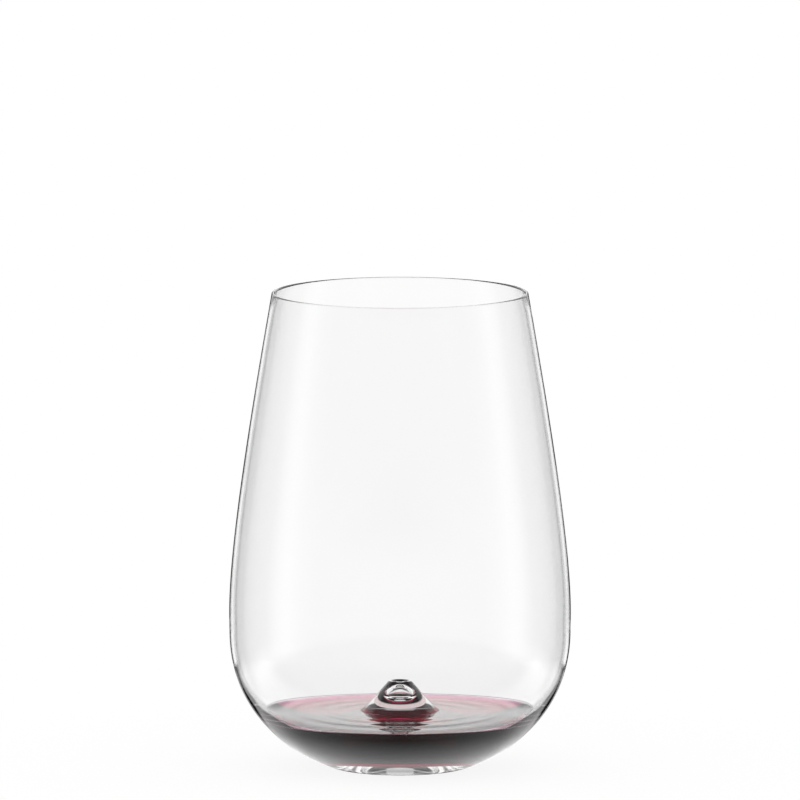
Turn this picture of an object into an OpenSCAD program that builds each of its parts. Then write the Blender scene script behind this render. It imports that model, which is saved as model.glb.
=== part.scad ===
// Stemless wine glass with a raised peak and a trapped air bubble in its floor, holding a splash of red wine.
// Millimetres, +Z up, origin at the middle of the foot, on the surface that the glass stands on.
// Every solid is a lathe shape, and neighbours are drawn from the same curves, so that they meet face to face.

/* [Bowl, outside] */
// Height of the rim above the table
glass_h = 130.5; // [122:0.5:140]
// Outside diameter of the rim
rim_d = 70; // [62:0.5:76]
// Lean of the wall at the rim, in degrees from upright
rim_lean = 10; // [7:0.5:13]
// How far the wall keeps that lean on its way down from the rim
rim_run = 76.2; // [70:0.1:80]
// Outside diameter of the belly, at its height
belly_d = 93; // [90:0.5:98]
// Height of the belly above the table
belly_z = 37.7; // [36:0.1:41]
// How far the wall stays upright above the belly
belly_run_up = 6.6; // [4:0.1:10]
// How far the wall stays upright below the belly
belly_run_down = 27.8; // [26.5:0.1:30]
// Outside diameter of the foot, where the glass leaves the table
foot_d = 31.6; // [29:0.1:35]
// How far the wall stays level outside of the foot
foot_run = 5; // [3.5:0.1:7]
// Diameter of the shallow hollow under the foot
kick_d = 24; // [18:0.5:27]
// Depth of that hollow in the middle
kick_h = 0.8; // [0.4:0.1:1.4]

/* [Bowl, wall] */
// Thickness of the rim, which is melted to a round lip
rim_wall = 1; // [0.8:0.05:1.4]
// Thickness of the wall at the belly
belly_wall = 1.15; // [0.95:0.05:1.5]
// Thickness of the floor in the middle, above the table
floor_t = 3; // [2.8:0.1:4]
// How much sooner the inside turns in below the belly than the outside
shoulder_gain = 2.6; // [2.2:0.1:4.4]
// How far the inside of the floor stays level, from the middle
floor_run = 25.5; // [23:0.1:26.5]

/* [Aerator peak] */
// Height of the top of the peak above the table
peak_top = 24; // [23.7:0.1:27]
// Diameter of the top of the peak, to the corner of its side
peak_tip_d = 5.9; // [5.2:0.1:7]
// Rounding of that corner
peak_tip_round = 1; // [0.6:0.1:1.6]
// Depth of the shallow hollow in the top
peak_dish_h = 0.7; // [0.4:0.1:0.9]
// Lean of the side of the peak, in degrees from upright
peak_lean = 40; // [37:0.5:43]
// How far the side keeps that lean
peak_run = 14; // [12:0.1:15]
// Diameter of the peak where it runs out on the floor
peak_foot_d = 43; // [40:0.5:46]
// Length of that run-out
peak_foot_run = 6; // [4:0.1:8]
// Angle between that run-out and level
peak_foot_lean = 12; // [8:1:16]

/* [Air bubble] */
// Diameter of the bubble trapped in the peak
bubble_d = 6.9; // [6.4:0.1:7.4]
// Height of the widest place of the bubble above the table
bubble_z = 18.9; // [18.6:0.1:19.4]
// Height of the bubble above its widest place
bubble_up = 3.3; // [2.9:0.1:3.8]
// Depth of the bubble below its widest place
bubble_down = 2.5; // [2:0.1:3]
// How far the bubble stays level at its top, from the middle
bubble_crown = 1.1; // [0.8:0.1:1.6]
// How far its side stays upright above the widest place
bubble_side_up = 1; // [0.7:0.1:1.4]
// How far its side stays upright below the widest place
bubble_side_down = 0.8; // [0.5:0.1:1.2]
// How far the bubble stays level at its bottom, from the middle
bubble_bed = 2.6; // [2.2:0.1:2.9]

/* [Bubble seal] */
// Diameter of the stalk of glass that closes the bubble from below
seal_d = 3.6; // [3:0.1:4.4]
// Diameter of the head of the seal, at the underside of the foot
seal_head_d = 7; // [6:0.1:9]
// Height of the top of the head above the table
seal_head_z = 2.1; // [1.9:0.1:2.3]
// Depth of the polished dimple in the head, beyond the hollow of the foot
seal_dimple_h = 0.4; // [0.2:0.1:0.6]

/* [Wine] */
// Height of the surface of the wine above the table
wine_level = 14.6; // [13:0.1:17]
// How high the wine climbs where it touches the wall
wall_climb = 0.4; // [0.3:0.1:1]
// How high the wine climbs where it touches the peak
peak_climb = 0.3; // [0.2:0.1:0.8]
// Width of the curved edge of the surface
climb_w = 1.6; // [1.2:0.1:3]

/* [Hidden] */
$fn = 96;

// Pieces in each stretch of a curve
long_steps = 20;
short_steps = 8;
// Halvings in the search for a place on a curve
halvings = 34;

rim_r = rim_d / 2;
belly_r = belly_d / 2;
foot_r = foot_d / 2;
kick_r = kick_d / 2;
peak_tip_r = peak_tip_d / 2;
peak_foot_r = peak_foot_d / 2;
bubble_r = bubble_d / 2;
seal_r = seal_d / 2;
seal_head_r = seal_head_d / 2;

// A cubic curve with four points, in radius and height
function bezier(p, t) =
    pow(1 - t, 3) * p[0] + 3 * pow(1 - t, 2) * t * p[1] + 3 * (1 - t) * t * t * p[2] + t * t * t * p[3];

// Points along a stretch of a curve, both ends included
function stretch(p, from, to, steps) =
    [for (i = [0:steps]) bezier(p, from + (to - from) * i / steps)];

// The place on a curve where its radius (k = 0) or its height (k = 1) has a value
function place(p, k, value, from = 0, to = 1, left = halvings) =
    let (mid = (from + to) / 2, rises = bezier(p, to)[k] > bezier(p, from)[k])
    left == 0 ? mid :
    (bezier(p, mid)[k] > value) == rises ? place(p, k, value, from, mid, left - 1) :
    place(p, k, value, mid, to, left - 1);

// A list without its first point
function rest(list) = [for (i = [1:len(list) - 1]) list[i]];

// A list in the other order
function back(list) = [for (i = [len(list) - 1:-1:0]) list[i]];

// Height of a shallow round hollow of radius r and depth h, at a distance x from its middle
function hollow(x, r, h) =
    let (ball = (r * r + h * h) / (2 * h))
    sqrt(ball * ball - x * x) - (ball - h);

// Rim: the centre of the round lip, the direction across the wall and the one down the wall
lip = [rim_r - rim_wall / 2, glass_h - rim_wall / 2];
across = [cos(rim_lean), sin(rim_lean)];
down = [sin(rim_lean), -cos(rim_lean)];
lip_out = lip + rim_wall / 2 * across;
lip_in = lip - rim_wall / 2 * across;

// Outside of the bowl, from the rim to the belly and on to the foot
out_high = [lip_out, lip_out + rim_run * down, [belly_r, belly_z + belly_run_up], [belly_r, belly_z]];
out_low = [[belly_r, belly_z], [belly_r, belly_z - belly_run_down], [foot_r + foot_run, 0], [foot_r, 0]];

// Inside of the bowl, from the rim to the belly and on to the middle of the floor
in_r = belly_r - belly_wall;
in_high = [lip_in, lip_in + rim_run * down, [in_r, belly_z + belly_run_up], [in_r, belly_z]];
in_low = [[in_r, belly_z], [in_r, belly_z - belly_run_down + shoulder_gain], [floor_run, floor_t], [0, floor_t]];

// Places on the inside of the bowl: the top of the wine, the edge of the peak and the hole of the seal
at_wine = place(in_low, 1, wine_level + wall_climb);
at_peak = place(in_low, 0, peak_foot_r);
at_seal = place(in_low, 0, seal_r);
wall_touch = bezier(in_low, at_wine);
peak_edge = bezier(in_low, at_peak);

// Side of the peak, from its tip to the floor, after the rounded corner
peak_side_way = [sin(peak_lean), -cos(peak_lean)];
corner = peak_tip_round * tan((90 - peak_lean) / 2);
peak_side = [
    [peak_tip_r, peak_top] + corner * peak_side_way,
    [peak_tip_r, peak_top] + peak_run * peak_side_way,
    peak_edge + peak_foot_run * [-cos(peak_foot_lean), sin(peak_foot_lean)],
    peak_edge
];
at_climb = place(peak_side, 1, wine_level + peak_climb);
peak_touch = bezier(peak_side, at_climb);

// Half turn of the lip, from the outside over the top to the inside
lip_arc = [for (i = [0:short_steps])
    let (a = rim_lean + 180 * i / short_steps)
    lip + rim_wall / 2 * [cos(a), sin(a)]];

// Rounded corner at the tip of the peak, from its top to its side
tip_arc = [for (i = [0:short_steps])
    let (a = 90 - (90 - peak_lean) * i / short_steps)
    [peak_tip_r - corner, peak_top - peak_tip_round] + peak_tip_round * [cos(a), sin(a)]];

// Hollow in the top of the peak, from its rim to the middle
tip_flat_r = peak_tip_r - corner;
dish_arc = [for (i = [0:short_steps])
    let (x = tip_flat_r * (1 - i / short_steps))
    [x, peak_top - hollow(x, tip_flat_r, peak_dish_h)]];

// The bubble: from its top to its widest place, on to the edge of the seal, and the part that the seal closes
bubble_high = [
    [0, bubble_z + bubble_up],
    [bubble_crown, bubble_z + bubble_up],
    [bubble_r, bubble_z + bubble_side_up],
    [bubble_r, bubble_z]
];
bubble_low = [
    [bubble_r, bubble_z],
    [bubble_r, bubble_z - bubble_side_down],
    [bubble_bed, bubble_z - bubble_down],
    [0, bubble_z - bubble_down]
];
at_stalk = place(bubble_low, 0, seal_r);
bubble_upper = stretch(bubble_high, 0, 1, short_steps);
bubble_lower = stretch(bubble_low, 0, at_stalk, short_steps);
seal_dish = stretch(bubble_low, at_stalk, 1, short_steps);

// Underside of the foot, from the head of the seal out to the flat ring, and the dimple in the head
kick_edge_z = hollow(seal_head_r, kick_r, kick_h);
kick_arc = [for (i = [0:short_steps])
    let (x = seal_head_r + (kick_r - seal_head_r) * i / short_steps)
    [x, hollow(x, kick_r, kick_h)]];
dimple_arc = [for (i = [0:short_steps])
    let (x = seal_head_r * i / short_steps)
    [x, kick_edge_z + hollow(x, seal_head_r, seal_dimple_h)]];

// Curved edge of the wine at the wall and at the peak, each from where it touches to the level surface
wall_edge_r = bezier(in_low, place(in_low, 1, wine_level))[0];
wall_edge = [
    wall_touch,
    [wall_edge_r, wine_level],
    [wall_edge_r - climb_w / 2, wine_level],
    [wall_edge_r - climb_w, wine_level]
];
peak_edge_r = bezier(peak_side, place(peak_side, 1, wine_level))[0];
peak_rise = [
    peak_touch,
    [peak_edge_r, wine_level],
    [peak_edge_r + climb_w / 2, wine_level],
    [peak_edge_r + climb_w, wine_level]
];

// The blown body: wall, round lip, floor and foot, with the stepped hole that the seal fills
module bowl() {
    color([0.9, 0.94, 0.94, 0.35])
    rotate_extrude()
    polygon(concat(
        kick_arc,
        back(stretch(out_low, 0, 1, long_steps)),
        rest(back(stretch(out_high, 0, 1, long_steps))),
        rest(lip_arc),
        rest(stretch(in_high, 0, 1, long_steps)),
        rest(stretch(in_low, 0, at_wine, long_steps)),
        rest(stretch(in_low, at_wine, at_peak, long_steps)),
        rest(stretch(in_low, at_peak, at_seal, long_steps)),
        [[seal_r, seal_head_z], [seal_head_r, seal_head_z]]
    ));
}

// The peak drawn up from the floor, with the bubble in its top and the spike hole below the bubble
module aerator_peak() {
    color([0.86, 0.92, 0.93, 0.4])
    rotate_extrude()
    polygon(concat(
        back(dish_arc),
        rest(tip_arc),
        rest(stretch(peak_side, 0, at_climb, long_steps)),
        rest(stretch(peak_side, at_climb, 1, long_steps)),
        rest(stretch(in_low, at_peak, at_seal, long_steps)),
        back(concat(bubble_upper, rest(bubble_lower)))
    ));
}

// The drop of glass that closes the spike hole: a head in the foot, and a stalk with a dished top
module bubble_seal() {
    color([0.8, 0.9, 0.92, 0.45])
    rotate_extrude()
    polygon(concat(
        dimple_arc,
        [[seal_head_r, seal_head_z], [seal_r, seal_head_z]],
        seal_dish
    ));
}

// The splash of red wine around the peak, with its edge drawn up where it touches the glass
module wine() {
    color([0.35, 0.02, 0.06, 0.85])
    rotate_extrude()
    polygon(concat(
        stretch(peak_rise, 0, 1, short_steps),
        back(stretch(wall_edge, 0, 1, short_steps)),
        rest(stretch(in_low, at_wine, at_peak, long_steps)),
        rest(back(stretch(peak_side, at_climb, 1, long_steps)))
    ));
}

bowl();
aerator_peak();
bubble_seal();
wine();
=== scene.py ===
import math

import bpy
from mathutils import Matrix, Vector


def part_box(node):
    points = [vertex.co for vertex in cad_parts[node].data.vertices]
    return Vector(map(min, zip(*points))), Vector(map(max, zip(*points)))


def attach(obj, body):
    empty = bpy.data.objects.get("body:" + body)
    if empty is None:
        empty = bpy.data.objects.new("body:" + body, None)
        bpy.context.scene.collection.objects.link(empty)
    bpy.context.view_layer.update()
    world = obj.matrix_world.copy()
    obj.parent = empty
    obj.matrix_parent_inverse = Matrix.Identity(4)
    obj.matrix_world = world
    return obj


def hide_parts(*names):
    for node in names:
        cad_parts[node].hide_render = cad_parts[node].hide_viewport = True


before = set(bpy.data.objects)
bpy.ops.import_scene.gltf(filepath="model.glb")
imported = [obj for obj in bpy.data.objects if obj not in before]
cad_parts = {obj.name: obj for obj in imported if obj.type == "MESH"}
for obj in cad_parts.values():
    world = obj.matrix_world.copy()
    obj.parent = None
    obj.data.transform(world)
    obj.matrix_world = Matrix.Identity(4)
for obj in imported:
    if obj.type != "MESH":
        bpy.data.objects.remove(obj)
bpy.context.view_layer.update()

# Stemless wine glass with a splash of red wine round its aerator peak, all of it turned about the Z axis
MM = 0.001

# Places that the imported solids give
GLASS_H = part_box("bowl")[1].z
PEAK_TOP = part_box("aerator_peak")[1].z
PEAK_FOOT_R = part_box("aerator_peak")[1].x
SEAL_HEAD_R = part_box("bubble_seal")[1].x

# Bowl, outside
RIM_R = 35 * MM
RIM_LEAN = math.radians(10)
RIM_RUN = 76.2 * MM
BELLY_R = 46.5 * MM
BELLY_Z = 37.7 * MM
BELLY_RUN_UP = 6.6 * MM
BELLY_RUN_DOWN = 27.8 * MM
FOOT_R = 15.8 * MM
FOOT_RUN = 5 * MM
KICK_R = 12 * MM
KICK_H = 0.8 * MM

# Bowl, wall
RIM_WALL = 1 * MM
BELLY_WALL = 1.15 * MM
FLOOR_T = 3 * MM
SHOULDER_GAIN = 2.6 * MM
FLOOR_RUN = 25.5 * MM

# Aerator peak, its bubble and the seal below it
PEAK_TIP_R = 2.95 * MM
PEAK_TIP_ROUND = 1 * MM
PEAK_DISH_H = 0.7 * MM
PEAK_LEAN = math.radians(40)
PEAK_RUN = 14 * MM
PEAK_FOOT_RUN = 6 * MM
PEAK_FOOT_LEAN = math.radians(12)
BUBBLE_R = 3.45 * MM
BUBBLE_Z = 18.9 * MM
BUBBLE_UP = 3.3 * MM
BUBBLE_DOWN = 2.5 * MM
BUBBLE_CROWN = 1.1 * MM
BUBBLE_SIDE_UP = 1 * MM
BUBBLE_SIDE_DOWN = 0.8 * MM
BUBBLE_BED = 2.6 * MM
SEAL_R = 1.8 * MM
SEAL_HEAD_Z = 2.1 * MM
SEAL_DIMPLE_H = 0.4 * MM

# Wine
WINE_LEVEL = 14.6 * MM
WALL_CLIMB = 0.25 * MM
PEAK_CLIMB = 0.1 * MM
CLIMB_W = 1 * MM
WINE_FILM = 0.02 * MM
RIPPLE_H = 0.045 * MM
RIPPLE_L = 6.5 * MM

# Fineness of the lathe shapes
TURNS = 256
LONG_STEPS = 56
SHORT_STEPS = 20
RIPPLE_STEPS = 120
HALVINGS = 40
SHARP_ANGLE = math.radians(25)
SAME_PLACE = 1e-9

# Glass and wine as materials
WHITE = (1, 1, 1, 1)
GLASS_IOR = 1.5
WAVES_PER_METRE = 40
WAVE_H = 0.04 * MM
WINE_IOR = 1.34
WINE_COAT = 0.4
WINE_COLOUR = (0.8, 0.0, 0.4, 1)
WINE_DENSITY = 750


# Lines and curves, in radius and height
def bezier(controls, t):
    """A point on a cubic curve with four control points."""
    a, b, c, d = controls
    return (1 - t) ** 3 * a + 3 * (1 - t) ** 2 * t * b + 3 * (1 - t) * t * t * c + t ** 3 * d


def points(*pairs):
    return [Vector(pair) for pair in pairs]


def stretch(controls, start=0, end=1, steps=LONG_STEPS):
    """Points along a stretch of a cubic curve, both ends included."""
    return [bezier(controls, start + (end - start) * i / steps) for i in range(steps + 1)]


def backwards(line):
    """The same line from its end to its start."""
    return list(reversed(line))


def arc(middle, radius, start, turn):
    """Points along a round arc, both ends included."""
    line = []
    for i in range(SHORT_STEPS + 1):
        a = start + turn * i / SHORT_STEPS
        line.append(middle + radius * Vector((math.cos(a), math.sin(a))))
    return line


def place(controls, axis, value):
    """Where a cubic curve's radius (0) or height (1) has a value."""
    start, end = 0.0, 1.0
    rises = bezier(controls, end)[axis] > bezier(controls, start)[axis]
    for _ in range(HALVINGS):
        middle = (start + end) / 2
        if (bezier(controls, middle)[axis] > value) == rises:
            end = middle
        else:
            start = middle
    return (start + end) / 2


def hollow(x, radius, depth):
    """Height of a shallow round hollow at a distance x from its middle."""
    ball = (radius * radius + depth * depth) / (2 * depth)
    return math.sqrt(ball * ball - x * x) - (ball - depth)


def hollow_line(start, end, height):
    """Points between two distances from the axis, with the height that each distance has."""
    line = []
    for i in range(SHORT_STEPS + 1):
        x = start + (end - start) * i / SHORT_STEPS
        line.append(Vector((x, height(x))))
    return line


def inset(line, distance):
    """The same line, moved to its left."""
    moved = []
    for i, point in enumerate(line):
        before = line[max(i - 1, 0)]
        after = line[min(i + 1, len(line) - 1)]
        way = (after - before).normalized()
        moved.append(point + distance * Vector((-way.y, way.x)))
    return moved


def ripples(start, end, steps):
    """The level surface between two distances from the axis, with rings that fade towards both."""
    line = []
    for i in range(steps + 1):
        x = start + (end - start) * i / steps
        fade = min(1, (x - end) / RIPPLE_L, (start - x) / RIPPLE_L)
        line.append(Vector((x, WINE_LEVEL + RIPPLE_H * fade * math.sin(2 * math.pi * x / RIPPLE_L))))
    return line


# Curves of the bowl
across = Vector((math.cos(RIM_LEAN), math.sin(RIM_LEAN)))
down = Vector((math.sin(RIM_LEAN), -math.cos(RIM_LEAN)))
lip = Vector((RIM_R - RIM_WALL / 2, GLASS_H - RIM_WALL / 2))
lip_out = lip + RIM_WALL / 2 * across
lip_in = lip - RIM_WALL / 2 * across
lip_arc = arc(lip, RIM_WALL / 2, RIM_LEAN, math.pi)
inner_r = BELLY_R - BELLY_WALL
out_high = points(
    lip_out,
    lip_out + RIM_RUN * down,
    (BELLY_R, BELLY_Z + BELLY_RUN_UP),
    (BELLY_R, BELLY_Z),
)
out_low = points(
    (BELLY_R, BELLY_Z),
    (BELLY_R, BELLY_Z - BELLY_RUN_DOWN),
    (FOOT_R + FOOT_RUN, 0),
    (FOOT_R, 0),
)
in_high = points(
    lip_in,
    lip_in + RIM_RUN * down,
    (inner_r, BELLY_Z + BELLY_RUN_UP),
    (inner_r, BELLY_Z),
)
in_low = points(
    (inner_r, BELLY_Z),
    (inner_r, BELLY_Z - BELLY_RUN_DOWN + SHOULDER_GAIN),
    (FLOOR_RUN, FLOOR_T),
    (0, FLOOR_T),
)
at_wine = place(in_low, 1, WINE_LEVEL + WALL_CLIMB)
at_peak = place(in_low, 0, PEAK_FOOT_R)
at_seal = place(in_low, 0, SEAL_R)
under_peak = stretch(in_low, at_peak, at_seal)
under_wine = stretch(in_low, at_wine, at_peak)

# Curves of the peak
peak_edge = bezier(in_low, at_peak)
side_way = Vector((math.sin(PEAK_LEAN), -math.cos(PEAK_LEAN)))
foot_way = Vector((-math.cos(PEAK_FOOT_LEAN), math.sin(PEAK_FOOT_LEAN)))
tip_turn = math.pi / 2 - PEAK_LEAN
corner = PEAK_TIP_ROUND * math.tan(tip_turn / 2)
tip = Vector((PEAK_TIP_R, PEAK_TOP))
peak_side = points(
    tip + corner * side_way,
    tip + PEAK_RUN * side_way,
    peak_edge + PEAK_FOOT_RUN * foot_way,
    peak_edge,
)
at_climb = place(peak_side, 1, WINE_LEVEL + PEAK_CLIMB)
in_wine = stretch(peak_side, at_climb, 1)
dish_r = PEAK_TIP_R - corner
tip_arc = arc(Vector((dish_r, PEAK_TOP - PEAK_TIP_ROUND)), PEAK_TIP_ROUND, PEAK_LEAN, tip_turn)
tip_dish = hollow_line(dish_r, 0, lambda x: PEAK_TOP - hollow(x, dish_r, PEAK_DISH_H))

# Curves of the bubble, the seal and the underside
bubble_high = points(
    (0, BUBBLE_Z + BUBBLE_UP),
    (BUBBLE_CROWN, BUBBLE_Z + BUBBLE_UP),
    (BUBBLE_R, BUBBLE_Z + BUBBLE_SIDE_UP),
    (BUBBLE_R, BUBBLE_Z),
)
bubble_low = points(
    (BUBBLE_R, BUBBLE_Z),
    (BUBBLE_R, BUBBLE_Z - BUBBLE_SIDE_DOWN),
    (BUBBLE_BED, BUBBLE_Z - BUBBLE_DOWN),
    (0, BUBBLE_Z - BUBBLE_DOWN),
)
at_stalk = place(bubble_low, 0, SEAL_R)
bubble_lower = stretch(bubble_low, 0, at_stalk)
seal_dish = stretch(bubble_low, at_stalk, 1)
kick_edge_z = hollow(SEAL_HEAD_R, KICK_R, KICK_H)
kick_line = hollow_line(SEAL_HEAD_R, KICK_R, lambda x: hollow(x, KICK_R, KICK_H))
dimple_line = hollow_line(0, SEAL_HEAD_R, lambda x: kick_edge_z + hollow(x, SEAL_HEAD_R, SEAL_DIMPLE_H))
seal_head = points((SEAL_HEAD_R, kick_edge_z), (SEAL_HEAD_R, SEAL_HEAD_Z), (SEAL_R, SEAL_HEAD_Z))

# Curved edges of the wine
wall_edge_r = bezier(in_low, place(in_low, 1, WINE_LEVEL)).x
wall_edge = points(
    under_wine[0],
    (wall_edge_r, WINE_LEVEL),
    (wall_edge_r - CLIMB_W / 2, WINE_LEVEL),
    (wall_edge_r - CLIMB_W, WINE_LEVEL),
)
peak_edge_r = bezier(peak_side, place(peak_side, 1, WINE_LEVEL)).x
peak_rise = points(
    (peak_edge_r + CLIMB_W, WINE_LEVEL),
    (peak_edge_r + CLIMB_W / 2, WINE_LEVEL),
    (peak_edge_r, WINE_LEVEL),
    in_wine[0],
)


# Meshes and pieces
def circle(radius, height, count):
    """Points round the Z axis."""
    turns = [2 * math.pi * i / count for i in range(count)]
    return [(radius * math.cos(a), radius * math.sin(a), height) for a in turns]


def lathe(name, stretches, materials):
    """A closed lathe shape. Each stretch is a line, its solid on the left, and a material's number."""
    line, slots = [], []
    for part, number in stretches:
        start = 1 if line and (line[-1] - part[0]).length < SAME_PLACE else 0
        for point in part[start:]:
            line.append(point)
            slots.append(number)
    rings, verts = [], []
    for point in line:
        if point.x < SAME_PLACE:
            rings.append([len(verts)])
            verts.append((0, 0, point.y))
        else:
            rings.append(list(range(len(verts), len(verts) + TURNS)))
            verts.extend(circle(point.x, point.y, TURNS))
    # A line that ends where it starts shares its first ring
    if (line[-1] - line[0]).length < SAME_PLACE:
        verts = verts[:rings[-1][0]]
        rings[-1] = rings[0]
    # The material of each band of faces is that of its end point
    faces, numbers = [], []
    for a, b, number in zip(rings, rings[1:], slots[1:]):
        if len(a) == 1 and len(b) == 1:
            continue
        for i in range(TURNS):
            j = (i + 1) % TURNS
            if len(a) == 1:
                faces.append((a[0], b[j], b[i]))
            elif len(b) == 1:
                faces.append((a[i], a[j], b[0]))
            else:
                faces.append((a[i], a[j], b[j], b[i]))
            numbers.append(number)
    mesh = bpy.data.meshes.new(name)
    mesh.from_pydata(verts, [], faces)
    for material in materials:
        mesh.materials.append(material)
    mesh.polygons.foreach_set("material_index", numbers)
    mesh.polygons.foreach_set("use_smooth", [True] * len(faces))
    mesh.set_sharp_from_angle(angle=SHARP_ANGLE)
    mesh.update()
    piece = bpy.data.objects.new(name, mesh)
    bpy.context.scene.collection.objects.link(piece)
    return piece


def finish_piece(piece, node):
    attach(piece, "root")
    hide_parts(node)


# Helpers for materials
def new_material(name):
    material = bpy.data.materials.new(name)
    material.use_nodes = True
    material.node_tree.nodes.clear()
    return material, material.node_tree


def maths(tree, operation, first, second=None):
    """A Math node. Each input is a number or another node's output."""
    node = tree.nodes.new("ShaderNodeMath")
    node.operation = operation
    for socket, value in zip(node.inputs, (first, second)):
        if value is None:
            continue
        if isinstance(value, (int, float)):
            socket.default_value = value
        else:
            tree.links.new(value, socket)
    return node.outputs["Value"]


def levels(tree, value, stops):
    """Grey levels by a value between 0 and 1, from pairs of value and level."""
    node = tree.nodes.new("ShaderNodeValToRGB")
    elements = node.color_ramp.elements
    while len(elements) < len(stops):
        elements.new(1.0)
    for element, (position, level) in zip(elements, stops):
        element.position = position
        element.color = (level, level, level, 1)
    tree.links.new(value, node.inputs["Fac"])
    return node.outputs["Color"]


def ramp(tree, value, start, end):
    """0 up to start, 1 from end."""
    scaled = maths(tree, "MULTIPLY", maths(tree, "SUBTRACT", value, start), 1 / (end - start))
    scaled.node.use_clamp = True
    return scaled


def blend_levels(tree, share, first, second):
    """first where share is 0, second where it is 1."""
    kept = maths(tree, "MULTIPLY", maths(tree, "SUBTRACT", 1, share), first)
    return maths(tree, "ADD", kept, maths(tree, "MULTIPLY", share, second))


def blend_shaders(tree, share, first, second):
    node = tree.nodes.new("ShaderNodeMixShader")
    tree.links.new(share, node.inputs["Fac"])
    tree.links.new(first, node.inputs[1])
    tree.links.new(second, node.inputs[2])
    return node.outputs["Shader"]


def split_vector(tree, vector):
    node = tree.nodes.new("ShaderNodeSeparateXYZ")
    tree.links.new(vector, node.inputs["Vector"])
    return node.outputs["X"], node.outputs["Y"], node.outputs["Z"]


# Materials of the pieces
def faint_waves(tree):
    """The faint long waves that blowing leaves in the surface of glass."""
    where = tree.nodes.new("ShaderNodeTexCoord")
    waves = tree.nodes.new("ShaderNodeTexNoise")
    waves.inputs["Scale"].default_value = WAVES_PER_METRE
    waves.inputs["Detail"].default_value = 1
    tree.links.new(where.outputs["Object"], waves.inputs["Vector"])
    bump = tree.nodes.new("ShaderNodeBump")
    bump.inputs["Strength"].default_value = 1
    bump.inputs["Distance"].default_value = WAVE_H
    tree.links.new(waves.outputs["Fac"], bump.inputs["Height"])
    return bump.outputs["Normal"]


def clear_glass(name, ior):
    """Clear blown glass, against air or against wine."""
    material, tree = new_material(name)
    output = tree.nodes.new("ShaderNodeOutputMaterial")
    glass = tree.nodes.new("ShaderNodeBsdfPrincipled")
    glass.inputs["Base Color"].default_value = WHITE
    glass.inputs["Roughness"].default_value = 0
    glass.inputs["IOR"].default_value = ior
    glass.inputs["Transmission Weight"].default_value = 1
    tree.links.new(faint_waves(tree), glass.inputs["Normal"])
    tree.links.new(glass.outputs["BSDF"], output.inputs["Surface"])
    return material


def fused_joint(name):
    """The place where two gathers of glass are fused: there is no surface there to see."""
    material, tree = new_material(name)
    output = tree.nodes.new("ShaderNodeOutputMaterial")
    through = tree.nodes.new("ShaderNodeBsdfTransparent")
    tree.links.new(through.outputs["BSDF"], output.inputs["Surface"])
    return material


def red_wine(name):
    """Red wine: a smooth surface, where it is open, over a liquid that takes the light by its depth."""
    material, tree = new_material(name)
    output = tree.nodes.new("ShaderNodeOutputMaterial")
    surface = tree.nodes.new("ShaderNodeBsdfPrincipled")
    surface.inputs["Base Color"].default_value = WHITE
    surface.inputs["Roughness"].default_value = 0
    surface.inputs["IOR"].default_value = WINE_IOR
    surface.inputs["Transmission Weight"].default_value = 1
    surface.inputs["Coat Weight"].default_value = WINE_COAT
    surface.inputs["Coat Roughness"].default_value = 0
    wall = tree.nodes.new("ShaderNodeBsdfTransparent")
    on_top = tree.nodes.new("ShaderNodeAttribute")
    on_top.attribute_name = "open_surface"
    seen = blend_shaders(tree, on_top.outputs["Fac"], wall.outputs["BSDF"], surface.outputs["BSDF"])
    tree.links.new(seen, output.inputs["Surface"])
    depth = tree.nodes.new("ShaderNodeVolumeAbsorption")
    depth.inputs["Color"].default_value = WINE_COLOUR
    depth.inputs["Density"].default_value = WINE_DENSITY
    tree.links.new(depth.outputs["Volume"], output.inputs["Volume"])
    return material


glass_slots = [
    clear_glass("bowl_glass", GLASS_IOR),
    clear_glass("glass_on_wine", GLASS_IOR / WINE_IOR),
    fused_joint("fused_glass"),
]
AIR, ON_WINE, FUSED = range(len(glass_slots))

# Bowl
bowl = lathe("glass_bowl", [
    (kick_line, AIR),
    (backwards(stretch(out_low)), AIR),
    (backwards(stretch(out_high)), AIR),
    (lip_arc, AIR),
    (stretch(in_high), AIR),
    (stretch(in_low, 0, at_wine), AIR),
    (under_wine, ON_WINE),
    (under_peak, FUSED),
    (backwards(seal_head), FUSED),
], glass_slots)
finish_piece(bowl, "bowl")

# Aerator peak, round its bubble
peak = lathe("aerating_peak", [
    (backwards(under_peak), FUSED),
    (backwards(in_wine), ON_WINE),
    (backwards(stretch(peak_side, 0, at_climb)), AIR),
    (tip_arc, AIR),
    (tip_dish, AIR),
    (stretch(bubble_high), AIR),
    (bubble_lower, AIR),
    ([bubble_lower[-1], under_peak[-1]], FUSED),
], glass_slots)
finish_piece(peak, "aerator_peak")

# Bubble seal
seal = lathe("bubble_seal_glass", [
    (dimple_line, AIR),
    (seal_head + seal_dish[:1], FUSED),
    (seal_dish, AIR),
], glass_slots)
finish_piece(seal, "bubble_seal")

# Wine, just clear of the glass, with its open surface marked for its material
wine_wall = inset(backwards(under_wine), WINE_FILM)
wine_peak = inset(in_wine, WINE_FILM)
open_line = (
    stretch(wall_edge, steps=SHORT_STEPS)[1:]
    + ripples(wall_edge[-1].x, peak_rise[0].x, RIPPLE_STEPS)[1:-1]
    + stretch(peak_rise, steps=SHORT_STEPS)[:-1]
)
wine = lathe("red_wine", [
    (wine_wall, 0),
    (open_line, 0),
    (wine_peak, 0),
    ([wine_wall[0]], 0),
], [red_wine("red_wine")])
finish_piece(wine, "wine")
# Its faces lie in bands of TURNS, in the order of the outline
open_from = len(wine_wall) - 1
open_to = open_from + len(open_line) + 1
open_surface = wine.data.attributes.new("open_surface", "FLOAT", "FACE")
open_surface.data.foreach_set("value", [
    float(open_from <= i // TURNS < open_to) for i in range(len(wine.data.polygons))
])

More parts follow.
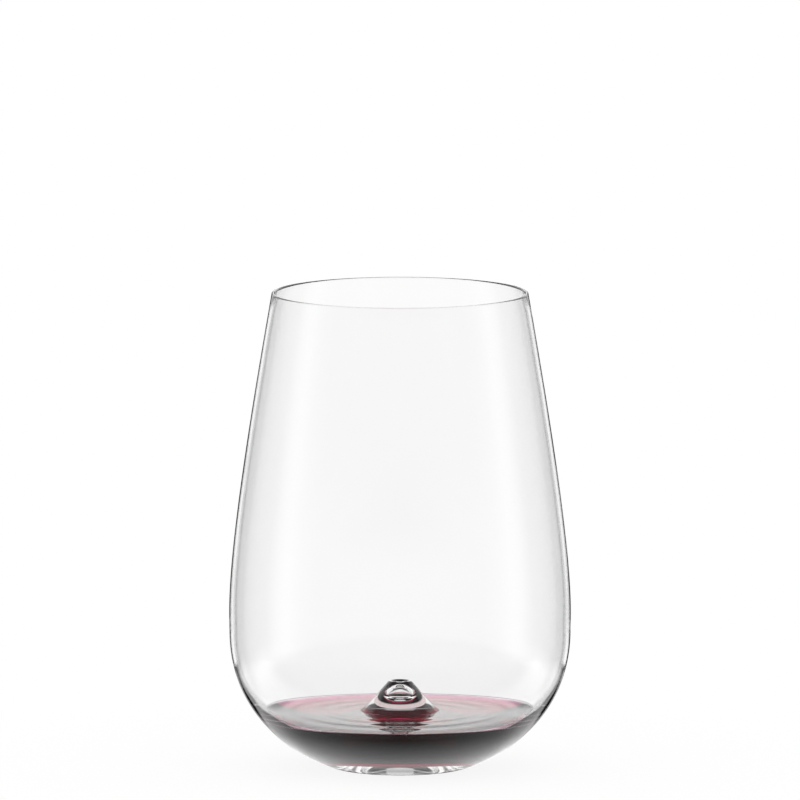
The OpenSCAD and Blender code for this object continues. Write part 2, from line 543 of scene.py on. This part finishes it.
# Floor, just below the foot, so that the two don't share a plane
FLOOR_R = 160 * MM
FLOOR_GAP = 0.02 * MM
FLOOR_CORNERS = 96
FLOOR_PAINT = (0.9, 0.9, 0.9, 1)
floor_mesh = bpy.data.meshes.new("floor")
floor_mesh.from_pydata(circle(FLOOR_R, -FLOOR_GAP, FLOOR_CORNERS), [], [tuple(range(FLOOR_CORNERS))])
floor = bpy.data.objects.new("floor", floor_mesh)
bpy.context.scene.collection.objects.link(floor)


def floor_stops(*pairs):
    """Pairs of distance from the glass in millimetres and level, as stops over the floor."""
    return [(distance * MM / FLOOR_R, level) for distance, level in pairs]


def turn_stops(*pairs):
    """Pairs of degrees off the far side and level, as stops round the glass."""
    return [(degrees / 180, level) for degrees, level in pairs]


# Studio round the glass as reflections see it: low, at mid height and high up
LOW_STUDIO = turn_stops(
    (0, 1), (3, 1), (4.5, 0.05), (13, 0.05), (15.5, 1), (21, 1), (26, 0.7), (31, 0.4), (35, 0.32),
    (50, 0.47), (62, 0.5), (75, 0.5), (87, 0.85), (95, 0.95), (107, 0.75), (120, 0.6), (180, 0.6),
)
MID_STUDIO = turn_stops(
    (0, 1), (20, 1), (30, 0.8), (62, 0.75), (75, 0.5), (87, 0.55), (95, 0.55), (107, 0.35), (120, 0.3),
    (180, 0.3),
)
HIGH_STUDIO = turn_stops((0, 1), (60, 1), (72, 0.05), (180, 0.05))
MID_GLINT = 1.65
CEILING = 0.12
# Where one height passes into the next, as the rise of the view ray
MID_RISE = (0.05, 0.175)
HIGH_RISE = (0.22, 0.32)
CEILING_RISE = (0.68, 0.78)

# Far side as the thick base shows it, by the rise of the view ray: a bright middle between two dark sides
BASE_MIDDLE = [(0.07, 1), (0.1, 0), (0.233, 0), (0.25, 0.6), (0.407, 0.6), (0.469, 1)]
BASE_SIDES = [
    (0.07, 1), (0.1, 0.05), (0.262, 0.05), (0.28, 0.5), (0.3, 0.5),
    (0.32, 0.05), (0.383, 0.05), (0.42, 0.3), (0.469, 1),
]
# Where the middle passes into the sides, and the sides into white, as shares of half a turn
MIDDLE_END = (10 / 180, 12 / 180)
SIDES_END = (32 / 180, 42 / 180)

# Floor as the camera sees it, straight and through glass; through glass it carries a painted shadow, a
# dark ring under the foot
FLOOR_DIRECT = floor_stops((20, 0.9), (60, 0.95), (150, 1))
FLOOR_THROUGH_PAINTED_SHADOW = floor_stops((0, 0.8), (6.6, 0.8), (7.6, 0), (17.2, 0), (18, 1))

# Floor as reflections see it, all painted reflection: levels in front and at the sides, with a painted
# shadow under the foot and a painted glint round it, painted shade behind, then the studio
FLOOR_FRONT = floor_stops(
    (0, 0.5), (6.6, 0.5), (7.6, 0), (17.6, 0.03), (18.4, 0.5), (19.4, 0.5), (20, 0.1), (21, 0.15),
    (23, 0.75), (25.6, 0.94), (30.4, 0.6), (37, 0.14), (46, 0.12), (68, 0.1),
)
FLOOR_SIDE = floor_stops(
    (0, 0.5), (6.6, 0.5), (7.6, 0), (18.4, 0), (19.2, 0.8), (32, 0.85), (39, 0.66), (50, 0.62),
    (70, 0.5), (150, 0.6),
)
FLOOR_ASIDE = turn_stops((0, 1), (90, 1), (102, 0.75), (113, 0.53), (134, 0.4), (165, 0.1), (180, 0))
FLOOR_PAINTED_GLINT = 1.6
FLOOR_BEHIND = turn_stops((0, 0.58), (40, 0.58), (62, 1), (180, 1))
FLOOR_PAINTED_PINK = floor_stops((0, 0), (17, 0), (19, 0.4), (30, 0.4), (36, 0))
FLOOR_TO_STUDIO = floor_stops((110, 0), (155, 1))

# Painted dark strip on the floor at each side of the glass, seen only in reflections, which leans outwards
# and starts behind it: a painted reflection that draws the thin dark outline of the glass
STRIP_SLANT = 0.38
STRIP_X = 38.7 * MM
STRIP_W = 10 * MM
STRIP_START = (24 * MM, 36 * MM)
STRIP = [(0, 0), (0.42, 0), (0.85, 1), (1, 1)]


def turn_share(tree, x, y):
    """The angle round the glass, off the far side, as a share of half a turn."""
    turn = maths(tree, "ABSOLUTE", maths(tree, "ARCTAN2", x, y))
    return maths(tree, "DIVIDE", turn, math.pi)


def mirror_share(tree, path):
    """0 for a ray that has met no mirror on its way, 1 for one that has, also inside the glass."""
    return maths(tree, "MINIMUM", path.outputs["Glossy Depth"], 1)


def painted_dark_strips(tree, x, y):
    """The painted dark strips, which draw the thin dark outline of the glass in reflections."""
    slant = maths(tree, "MULTIPLY", y, STRIP_SLANT)
    off = maths(tree, "SUBTRACT", maths(tree, "SUBTRACT", maths(tree, "ABSOLUTE", x), slant), STRIP_X)
    beside = ramp(tree, maths(tree, "ABSOLUTE", off), 0, STRIP_W)
    behind = ramp(tree, y, *STRIP_START)
    return blend_levels(tree, behind, 1.0, levels(tree, beside, STRIP))


def floor_glow_colour(tree, painted_pink):
    """White with a painted pink tint, seen in reflections. It stands in for the colour that the wine lends
    the peak, which mirrors this floor.
    """
    paler = maths(tree, "SUBTRACT", 1, painted_pink)
    colour = tree.nodes.new("ShaderNodeCombineXYZ")
    colour.inputs["X"].default_value = 1
    tree.links.new(paler, colour.inputs["Y"])
    tree.links.new(paler, colour.inputs["Z"])
    return colour.outputs["Vector"]


def floor_material():
    """White to the camera, straight, and through glass but for a painted shadow under the foot.
    Reflections see a painted studio table with dark fields: painted shade and painted glints.
    """
    material, tree = new_material("floor")
    output = tree.nodes.new("ShaderNodeOutputMaterial")
    paint = tree.nodes.new("ShaderNodeBsdfDiffuse")
    paint.inputs["Color"].default_value = FLOOR_PAINT
    glow = tree.nodes.new("ShaderNodeEmission")
    path = tree.nodes.new("ShaderNodeLightPath")
    geometry = tree.nodes.new("ShaderNodeNewGeometry")
    x, y, _ = split_vector(tree, geometry.outputs["Position"])
    length = tree.nodes.new("ShaderNodeVectorMath")
    length.operation = "LENGTH"
    tree.links.new(geometry.outputs["Position"], length.inputs[0])
    far = maths(tree, "DIVIDE", length.outputs["Value"], FLOOR_R)
    far.node.use_clamp = True
    turn = turn_share(tree, x, y)

    # Share of the glow, which lets the paint keep the object's shadow near the foot
    by_camera = maths(tree, "MULTIPLY", path.outputs["Is Camera Ray"], levels(tree, far, FLOOR_DIRECT))
    by_gloss = maths(tree, "MULTIPLY", path.outputs["Is Reflection Ray"], path.outputs["Is Glossy Ray"])
    by_glass = maths(tree, "MAXIMUM", path.outputs["Is Transmission Ray"], by_gloss)
    share = maths(tree, "MAXIMUM", by_camera, by_glass)

    # Strength of the glow
    # Through glass the glow is dark in a ring under the foot: a painted shadow
    straight = blend_levels(tree, path.outputs["Is Camera Ray"], levels(tree, far, FLOOR_THROUGH_PAINTED_SHADOW), 1.0)
    aside = levels(tree, turn, FLOOR_ASIDE)
    # Painted reflection of a studio table: a painted shadow under the foot and a painted glint round it,
    # brighter than white
    table = blend_levels(tree, aside, levels(tree, far, FLOOR_FRONT), levels(tree, far, FLOOR_SIDE))
    table = maths(tree, "MULTIPLY", table, FLOOR_PAINTED_GLINT)
    # Far out, the floor paints the studio's own levels for reflections
    edge = levels(tree, turn, LOW_STUDIO)
    mirrored = blend_levels(tree, levels(tree, far, FLOOR_TO_STUDIO), table, edge)
    # Painted shade on the reflected floor behind the glass
    behind = levels(tree, turn, FLOOR_BEHIND)
    mirrored = maths(tree, "MULTIPLY", maths(tree, "MULTIPLY", mirrored, behind), painted_dark_strips(tree, x, y))
    reflected = mirror_share(tree, path)
    tree.links.new(blend_levels(tree, reflected, straight, mirrored), glow.inputs["Strength"])

    # Colour of the glow: a painted pink reflection on the floor behind the glass, 17 to 36 mm out
    painted_pink = maths(tree, "MULTIPLY", reflected, maths(tree, "SUBTRACT", 1, behind))
    painted_pink = maths(tree, "MULTIPLY", painted_pink, levels(tree, far, FLOOR_PAINTED_PINK))
    tree.links.new(floor_glow_colour(tree, painted_pink), glow.inputs["Color"])
    seen = blend_shaders(tree, share, paint.outputs["BSDF"], glow.outputs["Emission"])
    tree.links.new(seen, output.inputs["Surface"])
    return material


def studio_world():
    """White for what the camera sees directly or through glass, a softer studio for reflections."""
    world = bpy.data.worlds.new("studio")
    world.use_nodes = True
    tree = world.node_tree
    tree.nodes.clear()
    output = tree.nodes.new("ShaderNodeOutputWorld")
    background = tree.nodes.new("ShaderNodeBackground")
    background.inputs["Color"].default_value = WHITE
    path = tree.nodes.new("ShaderNodeLightPath")
    where = tree.nodes.new("ShaderNodeTexCoord")
    x, y, rise = split_vector(tree, where.outputs["Generated"])
    turn = turn_share(tree, x, y)

    # What reflections see, from the horizon up to the ceiling
    middle = maths(tree, "MULTIPLY", levels(tree, turn, MID_STUDIO), MID_GLINT)
    studio = blend_levels(tree, ramp(tree, rise, *MID_RISE), levels(tree, turn, LOW_STUDIO), middle)
    studio = blend_levels(tree, ramp(tree, rise, *HIGH_RISE), studio, levels(tree, turn, HIGH_STUDIO))
    studio = blend_levels(tree, ramp(tree, rise, *CEILING_RISE), studio, CEILING)

    # What the thick base of the glass shows of the far side
    bright = levels(tree, rise, BASE_MIDDLE)
    sides = levels(tree, rise, BASE_SIDES)
    far_side = blend_levels(tree, ramp(tree, turn, *MIDDLE_END), bright, sides)
    far_side = blend_levels(tree, ramp(tree, turn, *SIDES_END), far_side, 1.0)
    straight = blend_levels(tree, path.outputs["Is Camera Ray"], far_side, 1.0)
    strength = blend_levels(tree, mirror_share(tree, path), straight, studio)
    tree.links.new(strength, background.inputs["Strength"])
    tree.links.new(background.outputs["Background"], output.inputs["Surface"])
    return world


floor_mesh.materials.append(floor_material())
bpy.context.scene.world = studio_world()

# Camera
CAMERA_DISTANCE = 7.87
CAMERA_ELEVATION = math.radians(7.53)
AIM_Z = 67 * MM
AIM_RISE = 33.7 * MM
LENS = 1300
SENSOR = 36
CLIP_START = 0.1
CLIP_END = 30
back = Vector((0, -math.cos(CAMERA_ELEVATION), math.sin(CAMERA_ELEVATION)))
up = Vector((0, math.sin(CAMERA_ELEVATION), math.cos(CAMERA_ELEVATION)))
camera_data = bpy.data.cameras.new("camera")
camera_data.lens = LENS
camera_data.sensor_width = SENSOR
camera_data.clip_start = CLIP_START
camera_data.clip_end = CLIP_END
camera = bpy.data.objects.new("camera", camera_data)
bpy.context.scene.collection.objects.link(camera)
camera.location = Vector((0, 0, AIM_Z)) + CAMERA_DISTANCE * back
aim = Vector((0, 0, AIM_Z)) + AIM_RISE * up
camera.rotation_euler = (aim - camera.location).to_track_quat("-Z", "Y").to_euler()
bpy.context.scene.camera = camera

# Bounces of light, enough for rays that stay inside the glass
ALL_BOUNCES = 48
GLASS_BOUNCES = 32
cycles = bpy.context.scene.cycles
cycles.max_bounces = ALL_BOUNCES
cycles.transmission_bounces = GLASS_BOUNCES
cycles.glossy_bounces = GLASS_BOUNCES
cycles.transparent_max_bounces = GLASS_BOUNCES
bpy.context.scene.view_settings.view_transform = "Standard"
